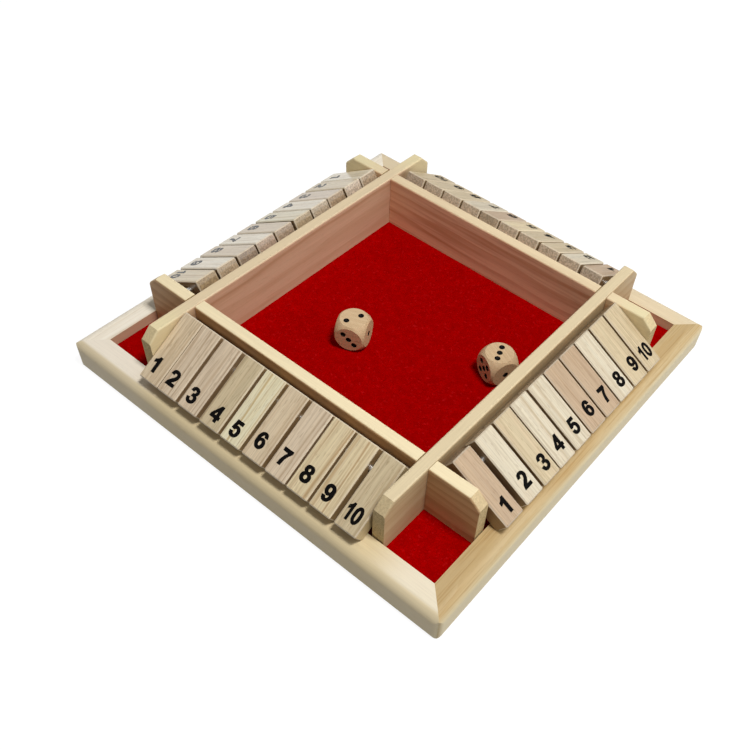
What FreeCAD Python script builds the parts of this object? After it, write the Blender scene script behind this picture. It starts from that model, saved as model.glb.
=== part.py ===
import FreeCAD, Part
import math
import os

import Sketcher
from FreeCAD import Placement, Rotation, Vector

# Four-player shut the box: a mitred pine frame holds a plywood floor lined with felt.
# Four half-lapped walls make the dice tray, and each side has ten number flaps on one rod.
# The origin is the middle of the frame's underside, +Z is up, and the front side faces -Y.

# Driving dimensions, in millimetres
DRIVING = {
    "board_side": 290.0,        # outer side of the square frame
    "rail_width": 16.0,         # frame rail, outer face to inner face
    "rail_height": 20.5,        # frame rail, table to top
    "rail_round": 6.0,          # round-over along the outer top edge
    "rail_foot_round": 2.0,     # easing along the outer bottom edge
    "rail_corner_round": 4.5,   # sanding of the frame's four corners
    "groove_depth": 5.0,        # groove in the rails that takes the floor
    "floor_rise": 8.5,          # table to the floor's underside
    "floor_thick": 4.0,         # plywood floor
    "floor_play": 0.3,          # room round the floor in its groove
    "felt_thick": 1.5,          # lining glued on the floor
    "felt_margin": 0.4,         # lining to the rails
    "bay_width": 35.25,         # rail's inner face to a wall's outer face
    "wall_thick": 8.0,          # wall stock
    "wall_height": 37.5,        # wall above the lining
    "wall_end_gap": 0.8,        # wall end to the rail
    "wall_cut_long": 7.0,       # corner cut of a wall end, along the wall
    "wall_cut_high": 6.5,       # corner cut of a wall end, down the end
    "wall_easing": 1.2,         # rounding of a wall's top edges and corner cuts
    "lap_gap": 0.2,             # play in the half-lap joints
    "rod_diameter": 4.0,        # hinge rod
    "rod_stand_off": 13.9,      # wall's outer face to the rod's axis
    "rod_lift": 28.2,           # lining to the rod's axis
    "socket_depth": 5.0,        # blind hole for a rod end
    "socket_play": 0.05,        # rod to socket, at the side
    "rod_end_play": 0.5,        # rod end to the socket's bottom
    "flap_length": 46.0,        # number flap, inner end to outer end
    "flap_thick": 11.5,         # number flap stock
    "flap_tail": 11.4,          # rod axis to the flap's inner end
    "flap_nose": 3.0,           # rounding under the flap's outer end
    "flap_easing": 0.7,         # chamfer of the flap's edges
    "flap_play": 0.08,          # rod to flap hole, at the side
    "row_play": 19.5,           # length of a row that its flaps leave free
    "flap_gap": 0.35,           # least gap between two flaps
    "flap_rest": 0.3,           # flap's nose to the rail at rest
    "nail_diameter": 1.6,       # wire nail shank
    "nail_head": 4.0,           # wire nail head
    "nail_head_thick": 0.8,     # wire nail head
    "nail_length": 20.0,        # under the head
    "nail_play": 0.02,          # shank to its hole, at the side
    "nail_room": 1.0,           # hole past the nail's point
    "nail_inset": 25.75,        # tray corner to the nearest nails, along a wall
    "die_side": 20.0,           # across a die's flat faces
    "die_ball": 26.8,           # ball that rounds a die's corners
    "die_rest": 0.1,            # die to the lining
    "pip_pitch": 3.6,           # face middle to a pip, along each edge
    "pip_ball": 2.35,           # radius of the cutter of a pip
    "pip_depth": 0.95,          # depth of a pip
    "cut_room": 5.0,            # how far a cutting outline runs past the stock
}

# Each side is the front side turned about +Z, in degrees.
SIDES = {"front": 0, "right": 90, "back": 180, "left": 270}
FLAPS_PER_SIDE = 10

# How the flaps have slid along their rods: shares of the spare length in the eleven gaps of a
# row, from the end by flap 1. One flap at each corner stands off, so two shut flaps can pass.
GAP_SHARES = {
    "front": (0, 0, 6, 8, 5, 6, 7, 3, 4, 8, 4),
    "right": (10, 12, 5, 2, 5, 3, 3, 3, 4, 4, 0),
    "back": (12, 5, 3, 4, 3, 2, 2, 3, 2, 3, 12),
    "left": (0, 2, 4, 2, 3, 6, 3, 3, 4, 4, 20),
}

# How the dice lie: middle in halves of the tray's width, and turn about +Z in degrees.
LEFT_DIE_PLACE = (-0.2612, -0.2682)
RIGHT_DIE_PLACE = (0.7429, 0.1796)
LEFT_DIE_YAW = 22.4
RIGHT_DIE_YAW = -25.0

doc = FreeCAD.newDocument("four_player_shut_the_box")
sizes = doc.addObject("Spreadsheet::Sheet", "sizes")
for sheet_row, (alias, number) in enumerate(DRIVING.items(), start=1):
    sizes.set(f"A{sheet_row}", alias)
    sizes.set(f"B{sheet_row}", str(number))
    sizes.setAlias(f"B{sheet_row}", alias)
doc.recompute()

# Expressions that several pieces share
HALF_BOARD = "(sizes.board_side / 2)"
HALF_OPENING = f"({HALF_BOARD} - sizes.rail_width)"
FLOOR_TOP = "(sizes.floor_rise + sizes.floor_thick)"
FELT_TOP = f"({FLOOR_TOP} + sizes.felt_thick)"
WALL_TOP = f"({FELT_TOP} + sizes.wall_height)"
WALL_OUTSIDE = f"({HALF_OPENING} - sizes.bay_width)"
HALF_TRAY = f"({WALL_OUTSIDE} - sizes.wall_thick)"
WALL_MIDDLE = f"({HALF_TRAY} + sizes.wall_thick / 2)"
WALL_END = f"({HALF_OPENING} - sizes.wall_end_gap)"
ROD_OUT = f"({WALL_OUTSIDE} + sizes.rod_stand_off)"
ROD_UP = f"({FELT_TOP} + sizes.rod_lift)"
FLAP_WIDTH = f"((2 * {HALF_TRAY} - sizes.row_play) / {FLAPS_PER_SIDE})"
NAIL_HOLE = "(sizes.nail_diameter + 2 * sizes.nail_play)"
NAIL_REACH = f"({HALF_TRAY} - sizes.nail_inset)"
NAIL_ALONG = (f"(-{NAIL_REACH})", f"(0 * {NAIL_REACH})", NAIL_REACH)

nodes = []


def value(expression):
    return float(sizes.evalExpression(expression))


def turned(side):
    return Placement(Vector(0, 0, 0), Rotation(Vector(0, 0, 1), SIDES[side]))


def keep(label, piece):
    piece.Label = label
    nodes.append(piece)
    return piece


def new_body(label):
    return keep(label, doc.addObject("PartDesign::Body", label))


def new_sketch(body, name, role, lift=None):
    """A sketch on one of the body's own origin planes, lifted along the plane's normal."""
    sketch = body.newObject("Sketcher::SketchObject", f"{body.Name}_{name}")
    origin_plane = next(item for item in body.Origin.OriginFeatures if item.Role == role)
    sketch.AttachmentSupport = [(origin_plane, "")]
    sketch.MapMode = "FlatFace"
    if lift:
        sketch.setExpression("AttachmentOffset.Base.z", lift)
    return sketch


def tie(sketch, kind, *places, to):
    number = sketch.addConstraint(Sketcher.Constraint(kind, *places, value(to)))
    sketch.setExpression(f"Constraints[{number}]", to)


def tie_point(sketch, shape, end, across=None, up=None):
    if across:
        tie(sketch, "DistanceX", -1, 1, shape, end, to=across)
    if up:
        tie(sketch, "DistanceY", -1, 1, shape, end, to=up)


def draw_outline(sketch, corners):
    """Close a loop, anticlockwise, through corners given as (across, up).

    A corner with a third entry starts an arc about that centre; the arc's far end then needs
    only one of its two measures, the one that its direction doesn't settle."""
    spots = [(value(corner[0]), value(corner[1])) for corner in corners]
    shapes = []
    for index, corner in enumerate(corners):
        start = Vector(*spots[index], 0)
        finish = Vector(*spots[(index + 1) % len(spots)], 0)
        if len(corner) == 2:
            shapes.append(sketch.addGeometry(Part.LineSegment(start, finish), False))
            continue
        centre = Vector(value(corner[2][0]), value(corner[2][1]), 0)
        circle = Part.Circle(centre, Vector(0, 0, 1), start.distanceToPoint(centre))
        first = math.atan2(start.y - centre.y, start.x - centre.x)
        last = math.atan2(finish.y - centre.y, finish.x - centre.x)
        shapes.append(sketch.addGeometry(Part.ArcOfCircle(circle, first, last), False))
    for index, corner in enumerate(corners):
        sketch.addConstraint(Sketcher.Constraint("Coincident", shapes[index - 1], 2, shapes[index], 1))
        if len(corners[index - 1]) == 2:
            tie_point(sketch, shapes[index], 1, corner[0], corner[1])
            continue
        centre = corners[index - 1][2]
        tie_point(sketch, shapes[index - 1], 3, *centre)
        beside = abs(spots[index][0] - value(centre[0])) > abs(spots[index][1] - value(centre[1]))
        if beside:
            tie_point(sketch, shapes[index], 1, up=corner[1])
        else:
            tie_point(sketch, shapes[index], 1, across=corner[0])


def draw_rectangle(sketch, low_across, low_up, high_across, high_up):
    low, high = (low_across, low_up), (high_across, high_up)
    draw_outline(sketch, [low, (high[0], low[1]), high, (low[0], high[1])])


def draw_circle(sketch, across, up, diameter):
    circle = Part.Circle(Vector(value(across), value(up), 0), Vector(0, 0, 1), value(diameter) / 2)
    shape = sketch.addGeometry(circle, False)
    tie_point(sketch, shape, 3, across, up)
    tie(sketch, "Diameter", shape, to=diameter)


def pad(body, sketch, length, symmetric=False):
    feature = body.newObject("PartDesign::Pad", f"{sketch.Name}_pad")
    feature.Profile = sketch
    feature.SideType = "Symmetric" if symmetric else "One side"
    feature.setExpression("Length", length)
    sketch.Visibility = False
    doc.recompute()
    return feature


def pocket(body, sketch, depth):
    """Cut the way the sketch's normal points, and make sure that something was cut."""
    before = body.Shape.Volume
    feature = body.newObject("PartDesign::Pocket", f"{sketch.Name}_pocket")
    feature.Profile = sketch
    feature.Reversed = True
    feature.setExpression("Length", depth)
    sketch.Visibility = False
    doc.recompute()
    if not body.Shape.Volume < before:
        raise RuntimeError(f"{feature.Name} cuts nothing")
    return feature


def dress(body, kind, size_name, size, wanted):
    """Fillet or chamfer the edges of the body's tip that the test wants."""
    tip = body.Tip
    names = [f"Edge{number}" for number, edge in enumerate(tip.Shape.Edges, start=1) if wanted(edge)]
    feature = body.newObject(f"PartDesign::{kind}", f"{body.Name}_{kind.lower()}")
    feature.Base = (tip, names)
    feature.setExpression(size_name, size)
    doc.recompute()
    return feature


def make_rail(side):
    """A mitred rail: round-over outside, groove for the floor inside, corner sanded round."""
    body = new_body(f"rail_{side}")
    outside, inside = f"(-{HALF_BOARD})", f"(-{HALF_OPENING})"
    groove_back = f"({inside} - sizes.groove_depth)"
    groove_low = "(sizes.floor_rise - sizes.floor_play)"
    groove_high = f"({FLOOR_TOP} + sizes.floor_play)"
    foot, shoulder = f"({outside} + sizes.rail_foot_round)", f"({outside} + sizes.rail_round)"
    ground = "(0 * sizes.rail_height)"
    section = new_sketch(body, "section", "YZ_Plane")
    draw_outline(section, [
        (foot, ground),
        (inside, ground),
        (inside, groove_low),
        (groove_back, groove_low),
        (groove_back, groove_high),
        (inside, groove_high),
        (inside, "sizes.rail_height"),
        (shoulder, "sizes.rail_height", (shoulder, "(sizes.rail_height - sizes.rail_round)")),
        (outside, "(sizes.rail_height - sizes.rail_round)"),
        (outside, "sizes.rail_foot_round", (foot, "sizes.rail_foot_round")),
    ])
    pad(body, section, "sizes.board_side", symmetric=True)
    # The mitres take off everything outside the rail's plan.
    sanded = f"({HALF_BOARD} - sizes.rail_corner_round)"
    tip = f"({sanded} + sizes.rail_corner_round * sqrt(0.5))"
    past_inside = f"({HALF_OPENING} - sizes.cut_room)"
    past_outside = f"({HALF_BOARD} + sizes.cut_room)"
    plan = new_sketch(body, "plan", "XY_Plane")
    draw_outline(plan, [
        (f"(-{sanded})", outside),
        (sanded, outside, (sanded, f"(-{sanded})")),
        (tip, f"(-{tip})"),
        (past_inside, f"(-{past_inside})"),
        (f"(-{past_inside})", f"(-{past_inside})"),
        (f"(-{tip})", f"(-{tip})", (f"(-{sanded})", f"(-{sanded})")),
    ])
    past_middle = f"({past_inside} - sizes.cut_room)"
    draw_rectangle(plan, f"(-{past_outside})", f"(-{past_outside})", past_outside, f"(-{past_middle})")
    pocket(body, plan, "(sizes.rail_height + sizes.cut_room)")
    body.Placement = turned(side)


def draw_nail_holes(sketch, across_middle):
    for along in NAIL_ALONG:
        draw_circle(sketch, along, across_middle, NAIL_HOLE)


def make_floor():
    """The plywood floor, held in the rails' grooves, with the holes of the walls' nails."""
    body = new_body("floor_board")
    half = f"({HALF_OPENING} + sizes.groove_depth - sizes.floor_play)"
    plan = new_sketch(body, "plan", "XY_Plane", lift="sizes.floor_rise")
    draw_rectangle(plan, f"(-{half})", f"(-{half})", half, half)
    pad(body, plan, "sizes.floor_thick")
    drill_for_walls(body, "sizes.floor_rise", "sizes.floor_thick")


def make_felt():
    """The lining: one sheet, glued on the floor before the walls are nailed down on it."""
    body = new_body("felt_lining")
    half = f"({HALF_OPENING} - sizes.felt_margin)"
    plan = new_sketch(body, "plan", "XY_Plane", lift=FLOOR_TOP)
    draw_rectangle(plan, f"(-{half})", f"(-{half})", half, half)
    pad(body, plan, "sizes.felt_thick")
    drill_for_walls(body, FLOOR_TOP, "sizes.felt_thick")


def drill_for_walls(body, low, thick):
    holes = new_sketch(body, "nail_holes", "XY_Plane", lift=low)
    for middle in (f"(-{WALL_MIDDLE})", WALL_MIDDLE):
        for along in NAIL_ALONG:
            draw_circle(holes, along, middle, NAIL_HOLE)
            draw_circle(holes, middle, along, NAIL_HOLE)
    pocket(body, holes, thick)


def wall_outline(notched_from_top):
    """A wall's side view: cut corners at the ends, and a half-lap notch where it is crossed."""
    lap = f"({FELT_TOP} + sizes.wall_height / 2)"
    half_notch = "(sizes.wall_thick / 2 + sizes.lap_gap)"
    near, far = f"({WALL_MIDDLE} - {half_notch})", f"({WALL_MIDDLE} + {half_notch})"
    shoulder = f"({WALL_TOP} - sizes.wall_cut_high)"
    end_top = f"({WALL_END} - sizes.wall_cut_long)"
    bottom = [(f"(-{WALL_END})", FELT_TOP)]
    top = [(WALL_END, shoulder), (end_top, WALL_TOP)]
    if notched_from_top:
        floor_of_notch = f"({lap} - sizes.lap_gap / 2)"
        for right, left in ((far, near), (f"(-{near})", f"(-{far})")):
            top += [(right, WALL_TOP), (right, floor_of_notch), (left, floor_of_notch), (left, WALL_TOP)]
    else:
        roof_of_notch = f"({lap} + sizes.lap_gap / 2)"
        for left, right in ((f"(-{far})", f"(-{near})"), (near, far)):
            bottom += [(left, FELT_TOP), (left, roof_of_notch), (right, roof_of_notch), (right, FELT_TOP)]
    bottom += [(WALL_END, FELT_TOP)]
    top += [(f"(-{end_top})", WALL_TOP), (f"(-{WALL_END})", shoulder)]
    return bottom + top


def make_wall(side):
    """A tray wall. The front and back walls are notched from above, the other two from below."""
    body = new_body(f"wall_{side}")
    profile = new_sketch(body, "profile", "XZ_Plane", lift=HALF_TRAY)
    draw_outline(profile, wall_outline(notched_from_top=side in ("front", "back")))
    pad(body, profile, "sizes.wall_thick")
    shoulder = value(f"{WALL_TOP} - sizes.wall_cut_high")

    def is_upper(edge):
        box = edge.BoundBox
        return box.ZMin > shoulder - 1e-6 and box.XLength > 1e-6 and box.YLength < 1e-6

    dress(body, "Fillet", "Radius", "sizes.wall_easing", is_upper)
    # Blind sockets for the rods that end in this wall, in the face towards the flaps
    sockets = new_sketch(body, "sockets", "XZ_Plane", lift=HALF_TRAY)
    for across in (f"(-{ROD_OUT})", ROD_OUT):
        draw_circle(sockets, across, ROD_UP, "(sizes.rod_diameter + 2 * sizes.socket_play)")
    pocket(body, sockets, "sizes.socket_depth")
    nail_holes = new_sketch(body, "nail_holes", "XY_Plane", lift=FELT_TOP)
    draw_nail_holes(nail_holes, f"(-{WALL_MIDDLE})")
    pocket(body, nail_holes,
           "(sizes.nail_length - sizes.floor_thick - sizes.felt_thick + sizes.nail_room)")
    body.Placement = turned(side)


def make_rod(side):
    """The hinge rod of one side; its ends sit in the sockets of the two crossing walls."""
    body = new_body(f"hinge_rod_{side}")
    section = new_sketch(body, "section", "YZ_Plane")
    draw_circle(section, f"(-{ROD_OUT})", ROD_UP, "sizes.rod_diameter")
    pad(body, section, f"(2 * ({HALF_TRAY} + sizes.socket_depth - sizes.rod_end_play))", symmetric=True)
    body.Placement = turned(side)


def rest_tilt():
    """How far a flap leans down, in degrees, when its rounded nose lies on the rail."""
    nose = value("sizes.flap_nose")
    along = value("sizes.flap_length - sizes.flap_tail") - nose
    below = value("sizes.flap_thick / 2") - nose
    drop = value(f"{ROD_UP} - sizes.rail_height - sizes.flap_rest") - nose
    return math.degrees(math.asin(drop / math.hypot(along, below)) - math.atan2(below, along))


def flap_middles(side):
    """Middle of each flap along its row, from flap 1 to the last, with the spare length shared out."""
    width, least = value(FLAP_WIDTH), value("sizes.flap_gap")
    shares = GAP_SHARES[side]
    spare = value("sizes.row_play") - len(shares) * least
    middles = []
    edge = -value(HALF_TRAY)
    for share in shares[:FLAPS_PER_SIDE]:
        edge += least + spare * share / sum(shares)
        middles.append(edge + width / 2)
        edge += width
    return middles


def make_flap(side, number, along):
    """A number flap: its own origin is the rod's axis, +X runs out to the nose."""
    body = new_body(f"flap_{side}_{number}")
    tail, tip = "(-sizes.flap_tail)", "(sizes.flap_length - sizes.flap_tail)"
    low, high = "(-sizes.flap_thick / 2)", "(sizes.flap_thick / 2)"
    nose_start, nose_end = f"({tip} - sizes.flap_nose)", f"({low} + sizes.flap_nose)"
    profile = new_sketch(body, "profile", "XZ_Plane")
    draw_outline(profile, [
        (tail, low),
        (nose_start, low, (nose_start, nose_end)),
        (tip, nose_end),
        (tip, high),
        (tail, high),
    ])
    centre = "(0 * sizes.flap_length)"
    draw_circle(profile, centre, centre, "(sizes.rod_diameter + 2 * sizes.flap_play)")
    pad(body, profile, FLAP_WIDTH, symmetric=True)
    hole = value("sizes.rod_diameter")
    nose_seam = (value(nose_start), value(tip))

    def is_sharp(edge):
        middle = edge.BoundBox.Center
        at_hole = math.hypot(middle.x, middle.z) < hole
        across = edge.BoundBox.YLength > edge.BoundBox.XLength + edge.BoundBox.ZLength
        on_nose = across and middle.z < 0 and min(abs(middle.x - seam) for seam in nose_seam) < 1e-6
        return not at_hole and not on_nose

    dress(body, "Chamfer", "Size", "sizes.flap_easing", is_sharp)
    lie = Rotation(Vector(1, 0, 0), rest_tilt()) * Rotation(Vector(0, 0, 1), -90)
    body.Placement = turned(side) * Placement(Vector(along, -value(ROD_OUT), value(ROD_UP)), lie)


def make_nails():
    """Wire nails driven up through the floor and the lining into the walls, as one group."""
    nails = []
    for side in SIDES:
        for index, along in enumerate(NAIL_ALONG):
            shank = doc.addObject("Part::Cylinder", f"nail_shank_{side}_{index}")
            shank.setExpression("Radius", "sizes.nail_diameter / 2")
            shank.setExpression("Height", "sizes.nail_length")
            head = doc.addObject("Part::Cylinder", f"nail_head_{side}_{index}")
            head.setExpression("Radius", "sizes.nail_head / 2")
            head.setExpression("Height", "sizes.nail_head_thick")
            head.setExpression("Placement.Base.z", "-sizes.nail_head_thick")
            nail = doc.addObject("Part::Fuse", f"nail_{side}_{index}")
            nail.Base, nail.Tool = shank, head
            foot = Vector(value(along), -value(WALL_MIDDLE), value("sizes.floor_rise"))
            nail.Placement = turned(side) * Placement(foot, Rotation())
            nails.append(nail)
    group = doc.addObject("Part::Compound", "wall_nails")
    group.Links = nails
    keep("wall_nails", group)


# The spots of each face of a die in the face's own two directions, in pip pitches
PIPS = {
    1: [(0, 0)],
    2: [(-1, 1), (1, -1)],
    3: [(-1, 1), (0, 0), (1, -1)],
    4: [(-1, -1), (-1, 1), (1, -1), (1, 1)],
    5: [(-1, -1), (-1, 1), (0, 0), (1, -1), (1, 1)],
    6: [(-1, -1), (0, -1), (1, -1), (-1, 1), (0, 1), (1, 1)],
}
# Outward normal of each face and its two directions: facing sides add up to seven.
FACES = {
    1: (Vector(1, 0, 0), Vector(0, 1, 0), Vector(0, 0, 1)),
    6: (Vector(-1, 0, 0), Vector(0, 1, 0), Vector(0, 0, 1)),
    2: (Vector(0, 1, 0), Vector(1, 0, 0), Vector(0, 0, 1)),
    5: (Vector(0, -1, 0), Vector(1, 0, 0), Vector(0, 0, 1)),
    3: (Vector(0, 0, 1), Vector(1, 0, 0), Vector(0, 1, 0)),
    4: (Vector(0, 0, -1), Vector(1, 0, 0), Vector(0, 1, 0)),
}


def make_die(label, place, lie):
    """A wooden die: a cube with its corners turned off by a ball, and drilled pips."""
    cube = doc.addObject("Part::Box", f"{label}_cube")
    for edge in ("Length", "Width", "Height"):
        cube.setExpression(edge, "sizes.die_side")
    for direction in "xyz":
        cube.setExpression(f"Placement.Base.{direction}", "-sizes.die_side / 2")
    ball = doc.addObject("Part::Sphere", f"{label}_ball")
    ball.setExpression("Radius", "sizes.die_ball / 2")
    blank = doc.addObject("Part::Common", f"{label}_blank")
    blank.Base, blank.Tool = cube, ball
    out = value("sizes.die_side / 2 + sizes.pip_ball - sizes.pip_depth")
    pitch = value("sizes.pip_pitch")
    cutters = []
    for face, (normal, first, second) in FACES.items():
        for spot, (one, two) in enumerate(PIPS[face]):
            cutter = doc.addObject("Part::Sphere", f"{label}_pip_{face}_{spot}")
            cutter.setExpression("Radius", "sizes.pip_ball")
            spot_middle = normal * out + first * (one * pitch) + second * (two * pitch)
            cutter.Placement = Placement(spot_middle, Rotation())
            cutters.append(cutter)
    pips = doc.addObject("Part::MultiFuse", f"{label}_pips")
    pips.Shapes = cutters
    die = doc.addObject("Part::Cut", label)
    die.Base, die.Tool = blank, pips
    middle = value(f"{FELT_TOP} + sizes.die_rest + sizes.die_side / 2")
    across, along = (share * value(HALF_TRAY) for share in place)
    die.Placement = Placement(Vector(across, along, middle), lie)
    keep(label, die)


make_floor()
make_felt()
for side in SIDES:
    make_rail(side)
    make_wall(side)
    make_rod(side)
make_nails()
for side in SIDES:
    for number, along in enumerate(flap_middles(side), start=1):
        make_flap(side, number, along)
# The left die shows two on top, the right die three, and both have the one towards the right.
two_up = Rotation(Vector(0, 0, 1), LEFT_DIE_YAW) * Rotation(Vector(1, 0, 0), 90)
three_up = Rotation(Vector(0, 0, 1), RIGHT_DIE_YAW)
make_die("die_left", LEFT_DIE_PLACE, two_up)
make_die("die_right", RIGHT_DIE_PLACE, three_up)
doc.recompute()

# Nothing is written unless every object is sound.
for item in doc.Objects:
    if "Invalid" in item.State or "Error" in item.State:
        raise RuntimeError(f"{item.Name} failed: {item.State}")
for piece in nodes:
    if piece.Shape.isNull() or not piece.Shape.isValid():
        raise RuntimeError(f"{piece.Label} has no valid shape")

os.makedirs("parts", exist_ok=True)
for piece in nodes:
    piece.Shape.exportStep(f"parts/{piece.Label}.step")
print(f"{len(nodes)} pieces, flaps lean {rest_tilt():.3f} degrees")
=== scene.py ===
import math

import bpy
from mathutils import Matrix, Vector


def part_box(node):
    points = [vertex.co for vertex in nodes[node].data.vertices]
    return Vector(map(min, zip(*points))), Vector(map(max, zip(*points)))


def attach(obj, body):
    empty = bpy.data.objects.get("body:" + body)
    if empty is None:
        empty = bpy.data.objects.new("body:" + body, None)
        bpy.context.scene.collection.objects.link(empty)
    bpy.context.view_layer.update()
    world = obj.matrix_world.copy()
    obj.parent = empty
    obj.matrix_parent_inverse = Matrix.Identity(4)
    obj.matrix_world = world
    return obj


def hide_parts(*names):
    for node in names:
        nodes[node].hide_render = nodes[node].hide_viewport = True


# Four-player shut the box, dressed: woods, felt, steel rods, printed numbers and painted pips.
# Sizes are in millimetres and are turned to metres where they are used.
MM = 0.001

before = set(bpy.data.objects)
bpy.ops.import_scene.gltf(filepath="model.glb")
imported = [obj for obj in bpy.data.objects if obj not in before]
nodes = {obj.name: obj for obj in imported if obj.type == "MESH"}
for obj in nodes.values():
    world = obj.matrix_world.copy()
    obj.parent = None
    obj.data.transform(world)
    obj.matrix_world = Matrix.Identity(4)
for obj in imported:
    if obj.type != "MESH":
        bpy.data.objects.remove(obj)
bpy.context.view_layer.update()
scene = bpy.context.scene
scene.view_settings.view_transform = "Standard"

# Each side is the front side turned about +Z, in degrees.
SIDES = {"front": 0, "right": 90, "back": 180, "left": 270}
FLAP_NUMBERS = range(1, 11)

# Where the rails, the walls and the floor board have their own frames, near their middles
RAIL_OUT = 137.0
RAIL_UP = 10.0
WALL_OUT = 89.75
WALL_UP = 33.0
BOARD_UP = 10.5

# Where the number flaps turn and lie
ROD_OUT = 107.65
ROD_UP = 42.2
FLAP_LEAN = 30.483
FLAP_TIP = 34.6
FLAP_THICK = 11.5

# The lining
FELT_SIDE = 257.2
FELT_TOP = 14.0
FELT_BODY = 1.3
FELT_RELIEF = 0.15
FELT_LUMPS = 9.0
FELT_EDGE = 0.3
FELT_GRID = 180

# How the dice lie: their turn about +Z and their tip about their own X axis, in degrees
DICE_LIE = {"die_left": (22.4, 90.0), "die_right": (-25.0, 0.0)}
DIE_SIDE = 20.0
PIP_PITCH = 3.6
PIP_BALL = 2.35
PIP_DEPTH = 0.95

# How far print and paint stand out of the wood
PAINT = 0.03


def srgb(code):
    """The linear colour of an sRGB hex value."""
    shades = [int(code[start:start + 2], 16) / 255 for start in (1, 3, 5)]
    linear = [shade / 12.92 if shade <= 0.04045 else ((shade + 0.055) / 1.055) ** 2.4 for shade in shades]
    return (*linear, 1.0)


def add(tree, kind, sockets=None, **settings):
    """Add a node with its settings, then set or link its sockets, given by name or number."""
    node = tree.nodes.new(kind)
    for setting, choice in settings.items():
        setattr(node, setting, choice)
    for socket, entry in (sockets or {}).items():
        if isinstance(entry, bpy.types.NodeSocket):
            tree.links.new(entry, node.inputs[socket])
        else:
            node.inputs[socket].default_value = entry
    return node


def lay_colours(tree, colour, layers, fade="SMOOTHSTEP"):
    """Lay shades over a colour. Each has a measure, two levels of it, and how much it covers at each."""
    for shade, measure, levels, covers in layers:
        cover = add(tree, "ShaderNodeMapRange", {
            "Value": measure,
            "From Min": levels[0],
            "From Max": levels[1],
            "To Min": covers[0],
            "To Max": covers[1],
        }, interpolation_type=fade).outputs[0]
        laid = add(tree, "ShaderNodeMix", {"Factor": cover, "A": colour, "B": shade}, data_type="RGBA")
        colour = laid.outputs["Result"]
    return colour


def new_material(name):
    material = bpy.data.materials.new(name)
    material.use_nodes = True
    return material, material.node_tree, material.node_tree.nodes["Principled BSDF"]


def dress(piece, material):
    piece.data.materials.clear()
    piece.data.materials.append(material)


def side_turn(side):
    return Matrix.Rotation(math.radians(SIDES[side]), 4, "Z")


# The patches of a wood's figure: how long they are along the grain, how wide across it, and the detail
# of their noise. Real fibres, pores and specks are too fine to show, so they are drawn coarser.
PATCHES = {
    "drift": (150.0, 26.0, 2.0),
    "line": (45.0, 1.0, 2.0),
    "fibre": (24.0, 0.8, 3.0),
    "pore": (6.0, 0.75, 1.0),
    "speck": (1.1, 1.1, 3.0),
    "mottle": (1.0, 1.0, 2.0),
}
STREAK_LENGTH = 110.0
STREAK_DETAIL = 3.0
# The levels between which each part of the figure fades in or out: of its noise, of a year's growth, or
# of how far a face is turned its way. The tones laid by how a face is turned, but for end grain, are
# painted light and shade.
LEVELS = {
    "wander": (0.2, 0.8),
    "late": (0.3, 0.9),
    "streak": (0.46, 0.7),
    "line": (0.5, 0.68),
    "fibre": (0.25, 0.75),
    "rough": (0.2, 0.8),
    "pore": (0.6, 0.72),
    "speck": (0.45, 0.75),
    "mottle": (0.3, 0.7),
    "top": (0.5, 0.9),
    "side": (0.7, 1.0),
    "end": (0.5, 0.85),
    "edge": (0.74, 0.9),
}
# How much of the wood's own colour these hide where they are full. All but the specks are painted light and
# shade.
COVERS = {"speck": 0.55, "top": 0.75, "corner": 0.75, "side": 0.8, "edge": 0.4}
# How deep the grain is, how much rougher some fibres are than others, and how rough end grain is
GRAIN_DEPTH = 0.1
ROUGH_SPREAD = 0.14
END_ROUGHNESS = 0.8
LACQUER_ROUGHNESS = 0.15
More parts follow.
